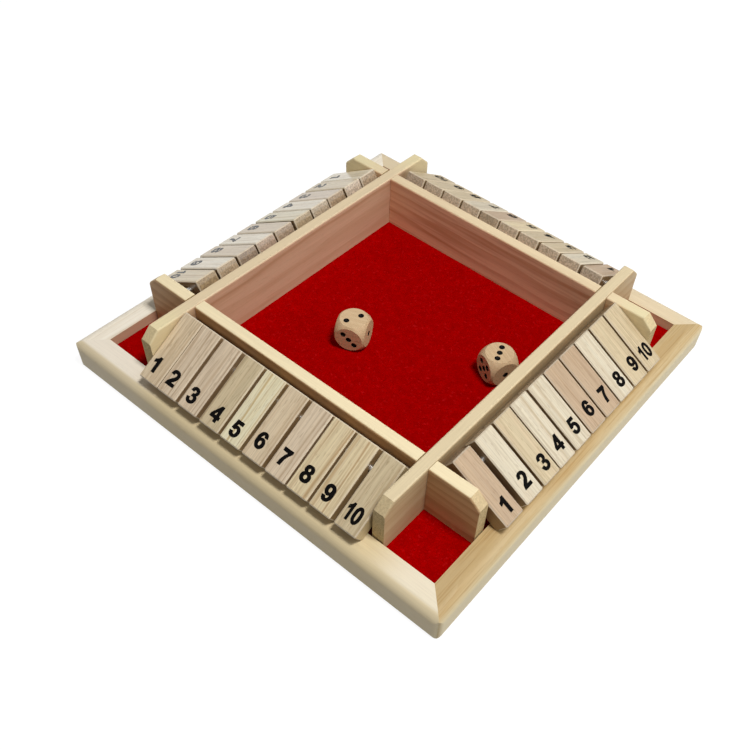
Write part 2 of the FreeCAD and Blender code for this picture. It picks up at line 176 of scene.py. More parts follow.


# Sawn and sanded softwood and hardwood. The figure is solid: growth rings round a pith that runs
# along the piece's own X axis, streaks and fibres along it, open pores, and end grain of its own tone.
# Over it lie painted light and shade: paler tops, corners and edges, and sides of their own tone.
def wood(name, place, look):
    material, tree, shader = new_material(name)
    where = add(tree, "ShaderNodeTexCoord").outputs
    turn = place.to_euler()
    own = add(tree, "ShaderNodeMapping", {
        "Vector": where["Object"], "Location": place.to_translation(), "Rotation": turn,
    }, vector_type="TEXTURE").outputs[0]
    spot = add(tree, "ShaderNodeSeparateXYZ", {0: own}).outputs

    # Which way the surface faces in the piece's own frame
    facing = add(tree, "ShaderNodeMapping", {"Vector": where["Normal"], "Rotation": turn},
                 vector_type="TEXTURE").outputs[0]
    upward = add(tree, "ShaderNodeSeparateXYZ", {0: facing}).outputs["Z"]
    outward = add(tree, "ShaderNodeVectorMath", {0: facing}, operation="ABSOLUTE").outputs[0]
    faced = add(tree, "ShaderNodeSeparateXYZ", {0: outward}).outputs

    # Patches of noise at the piece's place in the log, drawn out along the grain
    log = add(tree, "ShaderNodeVectorMath", {0: own, 1: Vector(look["log"]) * MM}, operation="ADD").outputs[0]
    streak = (STREAK_LENGTH, look["streak"], STREAK_DETAIL)
    noise = {}
    for patch, (along, across, detail) in (PATCHES | {"streak": streak}).items():
        scale = [1 / (size * MM) for size in (along, across, across)]
        drawn_out = add(tree, "ShaderNodeMapping", {"Vector": log, "Scale": scale}).outputs[0]
        field = add(tree, "ShaderNodeTexNoise", {"Vector": drawn_out, "Scale": 1.0, "Detail": detail})
        noise[patch] = field.outputs["Fac"]

    # What swings from one value to another with the noise, or where end grain starts
    swings = {
        "wander": (noise["drift"], -look["wander"] * MM, look["wander"] * MM),
        "fibre": (noise["fibre"], 1 - look["fibre"], 1 + look["fibre"]),
        "rough": (noise["fibre"], look["rough"], look["rough"] + ROUGH_SPREAD),
        "pore": (noise["pore"], 0.0, 1.0),
        "mottle": (noise["mottle"], 1 - look["mottle"], 1 + look["mottle"]),
        "end": (faced["X"], 0.0, 1.0),
    }
    swing = {}
    for part, (measure, first, last) in swings.items():
        swing[part] = add(tree, "ShaderNodeMapRange", {
            "Value": measure,
            "From Min": LEVELS[part][0],
            "From Max": LEVELS[part][1],
            "To Min": first,
            "To Max": last,
        }, interpolation_type="SMOOTHSTEP").outputs[0]

    # Growth rings: the distance from the pith, wandering a little along the board, is counted in years.
    section = add(tree, "ShaderNodeVectorMath", {0: log, 1: (0.0, 1.0, 1.0)}, operation="MULTIPLY").outputs[0]
    radius = add(tree, "ShaderNodeVectorMath", {0: section}, operation="LENGTH").outputs["Value"]
    grown = add(tree, "ShaderNodeMath", {0: radius, 1: swing["wander"]}, operation="ADD").outputs[0]
    years = add(tree, "ShaderNodeMath", {0: grown, 1: look["ring"] * MM}, operation="DIVIDE").outputs[0]
    season = add(tree, "ShaderNodeMath", {0: years}, operation="FRACT").outputs[0]
    brown = srgb(look["brown"])
    layers = [
        (srgb(look["late"]), season, LEVELS["late"], (0.0, look["ring_depth"])),
        (brown, noise["streak"], LEVELS["streak"], (0.0, look["streak_depth"])),
        (brown, noise["line"], LEVELS["line"], (0.0, look["line_depth"])),
    ]

    # Stripes of heartwood run along some pieces, at set places across or up them.
    for axis, across, width, depth in look.get("stripes", []):
        drift = add(tree, "ShaderNodeMath", {0: spot[axis], 1: swing["wander"]}, operation="ADD").outputs[0]
        off = add(tree, "ShaderNodeMath", {0: drift, 1: across * MM}, operation="SUBTRACT").outputs[0]
        apart = add(tree, "ShaderNodeMath", {0: off}, operation="ABSOLUTE").outputs[0]
        layers.append((brown, apart, (0.0, width * MM), (depth, 0.0)))
    layers.append((srgb(look["pore"]), noise["pore"], LEVELS["pore"], (0.0, look["pore_depth"])))

    # A narrow top edge lies along the rings. Faces turned upward are painted paler: painted light, against
    # sides whose browner, redder tone is painted shade.
    if "top" in look:
        layers.append((srgb(look["top"]), upward, LEVELS["top"], (0.0, COVERS["top"])))

    # Some ends are painted paler: painted light on the front rail's ends, and on the back and left walls'
    # ends beyond the tray, which the felt's red glow doesn't reach.
    for way, code, start, full in look.get("corners", []):
        layers.append((srgb(code), spot["X"], (way * start * MM, way * full * MM), (0.0, COVERS["corner"])))

    # Faces turned sideways are painted a tone of their own, which may start on the rounding above: painted
    # shade between the flaps and on the left rail, painted light on the right rail.
    if "side" in look:
        reach = look.get("side_reach", LEVELS["side"])
        layers.append((srgb(look["side"]), faced["Y"], reach, (0.0, COVERS["side"])))

    # End grain shows where the surface faces along the grain: speckled, mottled and dry.
    specks = [(srgb(look["pore"]), noise["speck"], LEVELS["speck"], (0.0, COVERS["speck"]))]
    pitted = lay_colours(tree, srgb(look["end"]), specks)
    end_grain = add(tree, "ShaderNodeVectorMath", {0: pitted, "Scale": swing["mottle"]}, operation="SCALE")
    layers.append((end_grain.outputs[0], faced["X"], LEVELS["end"], (0.0, 1.0)))

    # Edges are painted paler than the faces beside them: a painted highlight along them.
    if "edge" in look:
        flatter = add(tree, "ShaderNodeMath", {0: faced["X"], 1: faced["Y"]}, operation="MAXIMUM").outputs[0]
        flattest = add(tree, "ShaderNodeMath", {0: flatter, 1: faced["Z"]}, operation="MAXIMUM").outputs[0]
        layers.append((srgb(look["edge"]), flattest, LEVELS["edge"], (COVERS["edge"], 0.0)))

    # The fibres shade all of it, and they make the lacquered faces now smoother, now rougher.
    colour = lay_colours(tree, srgb(look["pale"]), layers)
    fibrous = add(tree, "ShaderNodeVectorMath", {0: colour, "Scale": swing["fibre"]}, operation="SCALE")
    dryness = add(tree, "ShaderNodeMix", {"Factor": swing["end"], "A": swing["rough"], "B": END_ROUGHNESS})
    relief = add(tree, "ShaderNodeMath", {0: noise["fibre"], 1: swing["pore"]}, operation="SUBTRACT")
    bump = add(tree, "ShaderNodeBump", {
        "Height": relief.outputs[0], "Strength": 0.35, "Distance": GRAIN_DEPTH * MM,
    })
    tree.links.new(fibrous.outputs[0], shader.inputs["Base Color"])
    tree.links.new(dryness.outputs["Result"], shader.inputs["Roughness"])
    tree.links.new(bump.outputs[0], shader.inputs["Normal"])
    shader.inputs["Specular IOR Level"].default_value = look["shine"]
    shader.inputs["Coat Weight"].default_value = look.get("lacquer", 0.0)
    shader.inputs["Coat Roughness"].default_value = LACQUER_ROUGHNESS
    return material


# What lies over the felt's plain red: the size of its patches and the detail of their noise, the levels
# between which they show, how much they cover, and their colour. The fuzz is drawn coarser than wool is.
FELT_RED = "#940000"
FELT_TONES = {
    "fuzz": (0.9, 4.0, (0.35, 0.7), 1.0, "#AE0001"),
    "worn": (5.0, 3.0, (0.35, 0.7), 0.7, "#8E0000"),
    "lint": (1.9, 1.0, (0.62, 0.76), 0.3, "#CC1E22"),
}
FELT_PILE = 0.25


# Pressed wool felt: matt, deep red, with paler fibre ends that stand up and catch the light
def wool_felt():
    material, tree, shader = new_material("pressed_wool_felt")
    where = add(tree, "ShaderNodeTexCoord").outputs["Object"]
    noise = {}
    layers = []
    for tone, (size, detail, levels, cover, code) in FELT_TONES.items():
        field = add(tree, "ShaderNodeTexNoise", {"Vector": where, "Scale": 1 / (size * MM), "Detail": detail})
        noise[tone] = field.outputs["Fac"]
        layers.append((srgb(code), noise[tone], levels, (0.0, cover)))
    red = lay_colours(tree, srgb(FELT_RED), layers, fade="LINEAR")
    bump = add(tree, "ShaderNodeBump", {"Height": noise["fuzz"], "Strength": 0.6, "Distance": FELT_PILE * MM})
    tree.links.new(red, shader.inputs["Base Color"])
    tree.links.new(bump.outputs[0], shader.inputs["Normal"])
    shader.inputs["Roughness"].default_value = 0.95
    shader.inputs["Specular IOR Level"].default_value = 0.0
    shader.inputs["Sheen Weight"].default_value = 0.05
    shader.inputs["Sheen Roughness"].default_value = 0.5
    shader.inputs["Sheen Tint"].default_value = srgb("#D00000")
    return material


# The marks that drawing leaves on steel. They are wider than real ones, which are too fine to show.
DRAW_MARK_LENGTH = 30.0
DRAW_MARK_WIDTH = 0.3
DRAW_MARK_DEPTH = 0.05
ROD_ROUGHNESS = 0.22
NAIL_ROUGHNESS = 0.3
STEEL_SPREAD = 0.12


# Bright drawn steel: a hard metal shine with draw marks along the wire
def drawn_steel(name, along, roughness):
    material, tree, shader = new_material(name)
    where = add(tree, "ShaderNodeTexCoord").outputs["Object"]
    scale = [1 / (DRAW_MARK_WIDTH * MM)] * 3
    scale["xyz".index(along)] = 1 / (DRAW_MARK_LENGTH * MM)
    drawn = add(tree, "ShaderNodeMapping", {"Vector": where, "Scale": scale}).outputs[0]
    marks = add(tree, "ShaderNodeTexNoise", {"Vector": drawn, "Scale": 1.0, "Detail": 2.0}).outputs["Fac"]
    tone = add(tree, "ShaderNodeMix", {
        "Factor": marks, "A": srgb("#B9B9B6"), "B": srgb("#E4E4E1"),
    }, data_type="RGBA")
    gloss = add(tree, "ShaderNodeMapRange", {
        "Value": marks, "To Min": roughness, "To Max": roughness + STEEL_SPREAD,
    })
    bump = add(tree, "ShaderNodeBump", {"Height": marks, "Strength": 0.1, "Distance": DRAW_MARK_DEPTH * MM})
    tree.links.new(tone.outputs["Result"], shader.inputs["Base Color"])
    tree.links.new(gloss.outputs[0], shader.inputs["Roughness"])
    tree.links.new(bump.outputs[0], shader.inputs["Normal"])
    shader.inputs["Metallic"].default_value = 1.0
    return material


# How large the black coats' patches are, how rough the coats are, and how much rougher in places
COAT_PATCH = 0.8
INK_ROUGHNESS = 0.75
PIP_ROUGHNESS = 0.3
COAT_SPREAD = 0.2


# Black print or paint: a thin coat that is a little greyer and duller where the wood's pores drink it
def black_coat(name, roughness, lacquer=0.0):
    material, tree, shader = new_material(name)
    where = add(tree, "ShaderNodeTexCoord").outputs["Object"]
    field = add(tree, "ShaderNodeTexNoise", {"Vector": where, "Scale": 1 / (COAT_PATCH * MM), "Detail": 3.0})
    drunk = field.outputs["Fac"]
    tone = add(tree, "ShaderNodeMix", {
        "Factor": drunk, "A": srgb("#050404"), "B": srgb("#131110"),
    }, data_type="RGBA")
    gloss = add(tree, "ShaderNodeMapRange", {
        "Value": drunk, "To Min": roughness, "To Max": roughness + COAT_SPREAD,
    })
    tree.links.new(tone.outputs["Result"], shader.inputs["Base Color"])
    tree.links.new(gloss.outputs[0], shader.inputs["Roughness"])
    shader.inputs["Specular IOR Level"].default_value = 0.05
    shader.inputs["Coat Weight"].default_value = lacquer
    shader.inputs["Coat Roughness"].default_value = LACQUER_ROUGHNESS
    return material


# How the woods look. "log" is where the piece lay from the pith, "ring" the width of a year's growth,
# "wander" how far it strays, and "streak" the width of a streak. The depths, "fibre" and "mottle" are
# shares, and "rough" and "shine" are of the surface. A stripe has the axis that it is measured on, its
# place, width and depth. A paler corner, painted light, has its way along X, its colour, and where it starts
# and is full. The tones of tops, sides and edges are painted light and shade. "side_reach" takes the place
# of the levels where a side's painted tone reaches further up the rounding.

# The frame: lacquered pine. The rails come from different boards, the right one more golden.
# The right rail's side is painted lighter, painted light, the left rail's sides darker and redder, painted
# shade, and the front rail's ends paler, painted light.
PINE = {
    "ring": 5.5, "ring_depth": 0.14, "wander": 4.0, "streak": 5.0, "streak_depth": 0.2, "line_depth": 0.12,
    "fibre": 0.035, "pore_depth": 0.08, "mottle": 0.1, "rough": 0.42, "shine": 0.3,
    "late": "#D8C096", "brown": "#CDB184", "pore": "#A8875A", "end": "#C9BF9E",
}
RAILS = {
    "front": {"log": (40.0, 90.0, 20.0), "streak_depth": 0.1, "pale": "#DECBA2",
              "side": "#DECBA2", "side_reach": (0.15, 0.5),
              "corners": [(-1, "#FFF6E8", 62.0, 100.0), (1, "#F0E6D0", 88.0, 118.0)]},
    "right": {"log": (500.0, 60.0, 30.0), "ring_depth": 0.25, "wander": 6.0, "line_depth": 0.5,
              "pore_depth": 0.2, "stripes": [("Y", 1.0, 5.0, 0.3)],
              "pale": "#C8B084", "late": "#BA985E", "brown": "#A88244", "side": "#E2D4AE"},
    "back": {"log": (900.0, -75.0, 24.0), "pale": "#E4D2B0"},
    "left": {"log": (1400.0, -90.0, 10.0), "pale": "#FFF6E4", "side": "#CFA680"},
}
# The tray walls: quarter-sawn pine, so the rings lie as level bands on the faces. The faces' pinkish
# brown is partly the wood's own and partly the felt's red glow, painted on; the tops and the back and left
# walls' ends beyond the tray are painted paler, painted light.
WALL_PINE = {
    "wander": 4.5, "streak": 5.0, "streak_depth": 0.3, "line_depth": 0.15,
    "fibre": 0.04, "pore_depth": 0.12, "mottle": 0.15, "rough": 0.45, "shine": 0.25,
    "brown": "#A87850", "pore": "#94693F", "end": "#C8B284", "top": "#E6D5B0",
}
WALLS = {
    "front": {"log": (300.0, 4.0, 88.0), "ring": 7.0, "ring_depth": 0.5,
              "pale": "#CCA678", "late": "#A87C50", "top": "#FFF2CA"},
    "right": {"log": (700.0, -8.0, 120.0), "ring": 9.5, "ring_depth": 0.35,
              "pale": "#C8B28A", "late": "#AE8E64"},
    "back": {"log": (1200.0, 8.0, 92.0), "ring": 9.5, "ring_depth": 0.5, "streak_depth": 0.55,
             "pale": "#F4D0A8", "late": "#D09C72", "brown": "#B87C50",
             "corners": [(way, "#E8DCAE", 88.0, 118.0) for way in (-1, 1)]},
    "left": {"log": (1700.0, -5.0, 106.0), "ring": 12.0, "ring_depth": 0.3, "streak_depth": 0.15,
             "stripes": [("Z", 13.0, 3.0, 0.45)], "pale": "#D2AE8E", "late": "#BA8E6A",
             "corners": [(way, "#E8DAAC", 88.0, 118.0) for way in (-1, 1)]},
}
# The number flaps: pale hardwood offcuts, so each has its own tint, streaks and pores
# Their dark brown sides are painted shade, the shade in the gaps between them, and their paler edges a
# painted highlight.
FLAP_WOOD = {
    "ring": 4.2, "ring_depth": 0.22, "wander": 2.2, "streak": 2.2, "streak_depth": 0.35, "line_depth": 0.4,
    "fibre": 0.09, "pore_depth": 0.3, "mottle": 0.25, "rough": 0.46, "shine": 0.3,
    "late": "#CDB492", "pore": "#8A6E4A", "edge": "#EFE2CA", "side": "#8E6C40",
}
# Where in the log the flaps were cut, with the steps from flap to flap and from row to row
FLAP_LOG = Vector((0.0, 14.0, 60.0))
FLAP_STEP = Vector((61.0, 3.1, -2.3))
ROW_STEP = Vector((630.0, 0.0, 0.0))
# The timbers that the flaps were cut from
TINTS = {
    "cream": {"pale": "#D8CDB4", "brown": "#B6A280", "end": "#BCA88C"},
    "white": {"pale": "#FAF0D8", "brown": "#C8AE88", "end": "#B8A68C"},
    "straw": {"pale": "#E2D0A8", "brown": "#B08E62", "end": "#B8A282"},
    "tan": {"pale": "#DCC8A8", "brown": "#B0926C", "end": "#B29C80"},
    "olive": {"pale": "#CEBC98", "brown": "#9E8660", "end": "#A48E6E"},
    "rose": {"pale": "#DCC8AC", "brown": "#A88C6C", "end": "#AE9880"},
    "russet": {"pale": "#BCA284", "brown": "#987856", "end": "#A08C74"},
    "yellow": {"pale": "#EAE0BE", "late": "#DED2A6", "brown": "#C0A46E", "end": "#BCA884"},
}
FLAPS = {
    "front": ["tan", "rose", "rose", "olive", "yellow", "tan", "rose", "straw", "straw", "olive"],
    "right": ["russet", "cream", "olive", "cream", "cream", "russet", "russet", "cream", "olive", "olive"],
    "back": ["russet", "cream", "olive", "olive", "straw", "russet", "cream", "olive", "olive", "olive"],
    "left": ["white", "straw", "rose", "white", "yellow", "tan", "white", "tan", "white", "straw"],
}
# The figure that some flaps show besides: dark stripes, a wild grain, strong or weak streaks, other ends,
# and on front 10 a paler side, painted light where it faces the open pocket
FIGURES = {
    ("front", 1): {"stripes": [("Y", 5.8, 1.2, 0.5)]},
    ("front", 2): {"stripes": [("Y", 0.4, 1.0, 0.75), ("Y", 3.6, 0.9, 0.55), ("Y", -5.6, 1.2, 0.5)]},
    ("front", 3): {"stripes": [("Y", 5.4, 1.1, 0.65), ("Y", 2.4, 0.7, 0.4)]},
    ("front", 4): {"stripes": [("Y", -5.8, 1.6, 0.5)]},
    ("front", 5): {"stripes": [("Y", -2.6, 1.2, 0.8), ("Y", 6.0, 1.1, 0.7)], "streak_depth": 0.15},
    ("front", 6): {"stripes": [("Y", 5.8, 1.4, 0.65)]},
    ("front", 7): {"stripes": [("Y", 2.6, 1.3, 0.55), ("Y", 5.4, 0.8, 0.6)]},
    ("front", 8): {"stripes": [("Y", 6.0, 1.6, 0.8)]},
    ("front", 9): {"stripes": [("Y", 1.4, 1.1, 0.85), ("Y", -5.8, 1.2, 0.6)]},
    ("front", 10): {"stripes": [("Y", 6.4, 3.0, 0.5)], "pore_depth": 0.45, "side": "#C8B48A"},
    ("right", 1): {"wander": 5.0, "log": (70.0, 3.0, 12.0), "ring_depth": 0.45},
    ("right", 3): {"wander": 4.0, "ring_depth": 0.4},
    ("right", 4): {"stripes": [("Y", 1.0, 1.5, 0.6)]},
    ("right", 5): {"stripes": [("Y", -0.5, 2.2, 0.6)], "streak_depth": 0.45},
    ("back", 1): {"end": "#B4A28C"},
    ("back", 4): {"streak_depth": 0.2},
    ("back", 6): {"end": "#AE9A80"},
    ("back", 7): {"stripes": [("Y", -3.0, 1.5, 0.6)]},
    ("back", 10): {"end": "#B8A48C"},
    ("left", 1): {"end": "#B29C80"},
    ("left", 2): {"end": "#CCBAA4"},
    ("left", 3): {"end": "#AA9274"},
    ("left", 5): {"stripes": [("Y", 2.0, 1.8, 0.7)], "end": "#AE9A7A"},
    ("left", 6): {"end": "#AA947C"},
    ("left", 7): {"end": "#B49C86"},
    ("left", 8): {"end": "#988470"},
    ("left", 9): {"end": "#B09A7C"},
    ("left", 10): {"end": "#A28A66"},
}
# How the rows were finished: the left one was sprayed most, and once more over its printed numbers,
# and the back one hardly, so its ends stay pale
ROWS = {
    "front": {"lacquer": 0.25, "over_print": 0.0},
    "right": {"lacquer": 0.25, "over_print": 0.0},
    "back": {"lacquer": 0.05, "over_print": 0.0, "end": "#C2AE94"},
    "left": {"lacquer": 0.75, "over_print": 0.6},
}
# The dice: close-grained light hardwood, tumbled and waxed, and where in the log each was cut
DICE_WOOD = {
    "ring": 2.4, "ring_depth": 0.25, "wander": 0.8, "streak": 2.0, "streak_depth": 0.25, "line_depth": 0.15,
    "fibre": 0.05, "pore_depth": 0.2, "mottle": 0.05, "rough": 0.38, "shine": 0.2,
    "pale": "#D6B992", "late": "#C2A076", "brown": "#B48E64", "pore": "#95704A", "end": "#C8AA82",
}
DICE_LOG = {"die_left": (0.0, 22.0, 30.0), "die_right": (90.0, 31.0, 30.0)}
# Raw birch plywood, seen only from below
PLYWOOD = {
    "log": (0.0, 300.0, 12.0), "ring": 5.0, "ring_depth": 0.25, "wander": 6.0,
    "streak": 6.0, "streak_depth": 0.3, "line_depth": 0.2,
    "fibre": 0.05, "pore_depth": 0.25, "mottle": 0.2, "rough": 0.65, "shine": 0.2,
    "pale": "#D9C29A", "late": "#C6A877", "brown": "#B7966A", "pore": "#8F7048", "end": "#A98A60",
}


def flap_place(side, number):
    """The flap's own frame: origin on the rod, +X out to the nose, +Z out of the numbered face."""
    low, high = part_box(f"flap_{side}_{number}")
    along = (side_turn(side).inverted() @ ((low + high) / 2)).x
    lean = Matrix.Rotation(math.radians(FLAP_LEAN), 4, "X") @ Matrix.Rotation(math.radians(-90), 4, "Z")
    return side_turn(side) @ Matrix.Translation((along, -ROD_OUT * MM, ROD_UP * MM)) @ lean


def die_place(name):
    """The die's own frame: origin in its middle, turned and tipped as it lies."""
    low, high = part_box(name)
    turn, tip = [math.radians(angle) for angle in DICE_LIE[name]]
    return Matrix.Translation((low + high) / 2) @ Matrix.Rotation(turn, 4, "Z") @ Matrix.Rotation(tip, 4, "X")


def dress_frame():
    for side in SIDES:
        rail = side_turn(side) @ Matrix.Translation((0.0, -RAIL_OUT * MM, RAIL_UP * MM))
        wall = side_turn(side) @ Matrix.Translation((0.0, -WALL_OUT * MM, WALL_UP * MM))
        dress(nodes[f"rail_{side}"], wood(f"lacquered_pine_rail_{side}", rail, PINE | RAILS[side]))
        dress(nodes[f"wall_{side}"], wood(f"lacquered_pine_wall_{side}", wall, WALL_PINE | WALLS[side]))
    board = Matrix.Translation((0.0, 0.0, BOARD_UP * MM))
    dress(nodes["floor_board"], wood("raw_birch_plywood", board, PLYWOOD))


def dress_steel():
    for side in SIDES:
        along = "x" if side in ("front", "back") else "y"
        steel = drawn_steel(f"bright_drawn_steel_{side}", along, ROD_ROUGHNESS)
        dress(nodes[f"hinge_rod_{side}"], steel)
    dress(nodes["wall_nails"], drawn_steel("bright_wire_nails", "z", NAIL_ROUGHNESS))


def dress_flaps():
    for row, side in enumerate(SIDES):
        for number, tint in zip(FLAP_NUMBERS, FLAPS[side]):
            cut = FLAP_LOG + FLAP_STEP * number + ROW_STEP * row
            figure = FIGURES.get((side, number), {})
            look = FLAP_WOOD | {"log": cut} | TINTS[tint] | ROWS[side] | figure
            name = f"flap_{side}_{number}"
            dress(nodes[name], wood(f"sanded_hardwood_{name}", flap_place(side, number), look))


def dress_dice():
    for name, cut in DICE_LOG.items():
        look = DICE_WOOD | {"log": cut}
        dress(nodes[name], wood(f"waxed_hardwood_{name}", die_place(name), look))


def finish_with(piece, kind, **settings):
    """Add a modifier with its settings to the active piece, and apply it."""
    bpy.ops.object.modifier_add(type=kind)
    modifier = piece.modifiers[-1]
    for setting, choice in settings.items():
        setattr(modifier, setting, choice)
    bpy.ops.object.modifier_apply(modifier=modifier.name)


def copy_to(place, pattern):
    """A copy of a pattern with its own mesh, moved to its place."""
    copy = pattern.copy()
    copy.data = pattern.data.copy()
    copy.data.transform(place)
    scene.collection.objects.link(copy)
    return copy


def join(copies, name):
    """Make one piece of copies, under this name."""
    bpy.ops.object.select_all(action="DESELECT")
    for copy in copies:
        copy.select_set(True)
    bpy.context.view_layer.objects.active = copies[0]
    if len(copies) > 1:
        bpy.ops.object.join()
    copies[0].name = name
    return copies[0]


def lay_felt():
    """The lining: one sheet of felt with a slightly uneven face, glued flat on the floor."""
    bpy.ops.object.select_all(action="DESELECT")
    bpy.ops.mesh.primitive_grid_add(x_subdivisions=FELT_GRID, y_subdivisions=FELT_GRID,
                                    size=FELT_SIDE * MM, location=(0.0, 0.0, FELT_TOP * MM))
    felt = bpy.context.object
    felt.name = "felt_sheet"
    bpy.ops.object.transform_apply(location=True)
    unevenness = bpy.data.textures.new("felt_unevenness", "CLOUDS")
    unevenness.noise_scale = FELT_LUMPS * MM
    finish_with(felt, "DISPLACE", texture=unevenness, texture_coords="LOCAL", direction="Z",
                mid_level=1.0, strength=FELT_RELIEF * MM)
    finish_with(felt, "SOLIDIFY", thickness=FELT_BODY * MM, offset=-1.0)
    finish_with(felt, "BEVEL", width=FELT_EDGE * MM, segments=2,
                limit_method="ANGLE", angle_limit=math.radians(60))
    bpy.ops.object.shade_smooth()
    dress(felt, wool_felt())
    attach(felt, "box")
    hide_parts("felt_lining")


# Plain bold numerals, drawn as outlines in hundredths of their height. An outline's point is on a
# curve, or it is a corner where "c" follows it. The later outlines of a numeral are its holes.
NUMERALS = {
    "0": ["35 100 59 85 67 50 59 14 35 -1 11 14 3 50 11 85",
          "35 84 45 73 48 50 45 26 35 15 25 26 22 50 25 73"],
    "1": ["54 0 c 54 100 c 39 100 c 30 87 12 77 c 12 60 c 24 65 35 73 c 35 0 c"],
    "2": ["2 0 c 66 0 c 66 17 c 31 17 c 47 33 61 51 66 71 59 91 36 100 13 93 4 72 c 22 70 c "
          "26 80 36 84 45 80 48 71 43 58 27 41 10 22"],
    "3": ["4 74 c 13 93 34 100 56 93 63 75 59 61 50 54 c 62 46 67 29 58 8 34 -1 11 7 2 28 c 20 30 c "
          "24 18 34 14 45 18 49 29 45 40 35 44 26 43 c 28 58 c 40 61 45 73 42 82 34 85 26 82 22 72 c"],
    "4": ["40 0 c 58 0 c 58 20 c 69 20 c 69 36 c 58 36 c 58 100 c 42 100 c 1 36 c 1 20 c 40 20 c",
          "40 36 c 40 71 c 18 36 c"],
    "5": ["15 99 c 62 99 c 62 82 c 29 82 c 26 64 c 40 67 60 57 68 33 58 8 35 -1 12 7 4 26 c 23 28 c "
          "27 18 36 14 46 19 50 33 46 47 36 52 22 44 c 6 47 c"],
    "6": ["64 74 c 56 93 37 100 13 87 3 49 12 11 37 -1 59 9 67 32 59 55 41 64 21 56 c 25 75 37 85 46 73 c",
          "37 50 49 32 37 14 24 32"],
    "7": ["4 99 c 66 99 c 66 85 c 50 62 39 33 35 0 c 16 0 c 21 33 32 61 45 82 c 4 82 c"],
    "8": ["35 100 57 93 64 74 60 61 52 54 c 64 45 68 28 59 7 35 -1 11 7 2 28 6 45 18 54 c 10 61 6 74 13 93",
          "35 86 46 73 35 61 24 73", "35 46 49 29 35 14 21 29"],
    "9": ["6 25 c 14 6 33 -1 57 12 67 50 58 88 33 100 11 90 3 67 11 44 29 35 49 43 c 45 24 33 14 24 26 c",
          "33 49 21 67 33 85 46 67"],
}
NUMERAL_HEIGHT = 9.7
NUMERAL_MIDDLE = 35.0
# How much the ink spreads past the outlines, as a share of the height
BOLDNESS = 0.034
# The ten is narrowed to fit the flap: its digits, their shifts as shares of the height, and their widths.
TEN = [("1", -0.33, 0.72), ("0", 0.23, 0.8)]
# How the numbers were stamped: across from the flap's middle, and up from its outer end to their feet
STAMPED = {
    "front": [(-2.1, 6.1), (-1.9, 5.7), (-1.7, 4.6), (0.1, 4.4), (-1.1, 4.0),
              (-1.4, 7.2), (-1.4, 7.4), (-1.0, 7.4), (-1.1, 6.2), (-0.6, 5.4)],
    "right": [(0.5, 4.6), (0.9, 6.8), (1.5, 5.5), (1.2, 6.9), (1.1, 6.9),
              (1.2, 7.8), (1.4, 6.4), (1.8, 6.2), (2.2, 6.5), (0.3, 6.0)],
    "back": [(-0.6, 5.8), (0.8, 6.4), (-0.4, 5.6), (0.3, 6.9), (-1.0, 6.1),
             (0.5, 5.3), (-0.7, 6.6), (0.9, 6.0), (0.2, 5.7), (-0.3, 6.2)],
    "left": [(0.7, 6.2), (-0.5, 5.5), (0.2, 6.7), (-0.9, 6.0), (0.6, 5.8),
             (-0.2, 6.5), (0.8, 5.4), (-0.6, 6.3), (0.4, 5.9), (-0.8, 6.4)],
}


def outline_points(loop):
    """An outline's points: across, up, and the kind of handle that makes a curve or a corner."""
    points = []
    for entry in loop.split():
        if entry == "c":
            points[-1].append("VECTOR")
        elif points and len(points[-1]) == 1:
            points[-1].append(float(entry))
        else:
            points.append([float(entry)])
    return [(across, up, corner[0] if corner else "AUTO") for across, up, *corner in points]


def draw_digit(digit):
    """One digit as a thin flat print, its middle at x = 0 and its foot at y = 0, a metre high."""
    bpy.ops.object.select_all(action="DESELECT")
    bpy.ops.curve.primitive_bezier_curve_add()
    outline = bpy.context.object.data
    outline.dimensions = "2D"
    outline.fill_mode = "BOTH"
    outline.resolution_u = 5
    outline.extrude = PAINT / NUMERAL_HEIGHT
    outline.offset = BOLDNESS
    outline.splines.clear()
    for loop in NUMERALS[digit]:
        points = outline_points(loop)
        spline = outline.splines.new("BEZIER")
        spline.bezier_points.add(len(points) - 1)
        spline.use_cyclic_u = True
        for knot, (across, up, handle) in zip(spline.bezier_points, points):
            knot.co = ((across - NUMERAL_MIDDLE) / 100, up / 100, 0.0)
            knot.handle_left_type = handle
            knot.handle_right_type = handle
    bpy.ops.object.convert(target="MESH")
    return bpy.context.object


def print_numbers():
    """The numbers 1 to 10 on every row, read by the player who sits at that side."""
    digits = {digit: draw_digit(digit) for digit in NUMERALS}
    size = Matrix.Scale(NUMERAL_HEIGHT * MM, 4)
    upright = Matrix.Rotation(math.radians(90), 4, "Z")
    for side in SIDES:
        ink = black_coat(f"black_printing_ink_{side}", INK_ROUGHNESS, ROWS[side]["over_print"])
        for number, (across, up) in zip(FLAP_NUMBERS, STAMPED[side]):
            face = Matrix.Translation(((FLAP_TIP - up) * MM, across * MM, FLAP_THICK / 2 * MM))
            spread = TEN if number == 10 else [(str(number), 0.0, 1.0)]
            copies = []
            for digit, shift, narrow in spread:
                squeeze = Matrix.Translation((shift, 0.0, 0.0)) @ Matrix.Scale(narrow, 4, (1, 0, 0))
                place = flap_place(side, number) @ face @ size @ upright @ squeeze
                copies.append(copy_to(place, digits[digit]))
            printed = join(copies, f"number_{side}_{number}")
            dress(printed, ink)
            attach(printed, f"flap_{side}_{number}")
    for pattern in digits.values():
        bpy.data.objects.remove(pattern)


# The spots on each face of a die, in pip pitches
PIPS = {
    1: [(0, 0)],
    2: [(-1, 1), (1, -1)],
    3: [(-1, 1), (0, 0), (1, -1)],
    4: [(-1, -1), (-1, 1), (1, -1), (1, 1)],
    5: [(-1, -1), (-1, 1), (0, 0), (1, -1), (1, 1)],
    6: [(-1, -1), (0, -1), (1, -1), (-1, 1), (0, 1), (1, 1)],
}
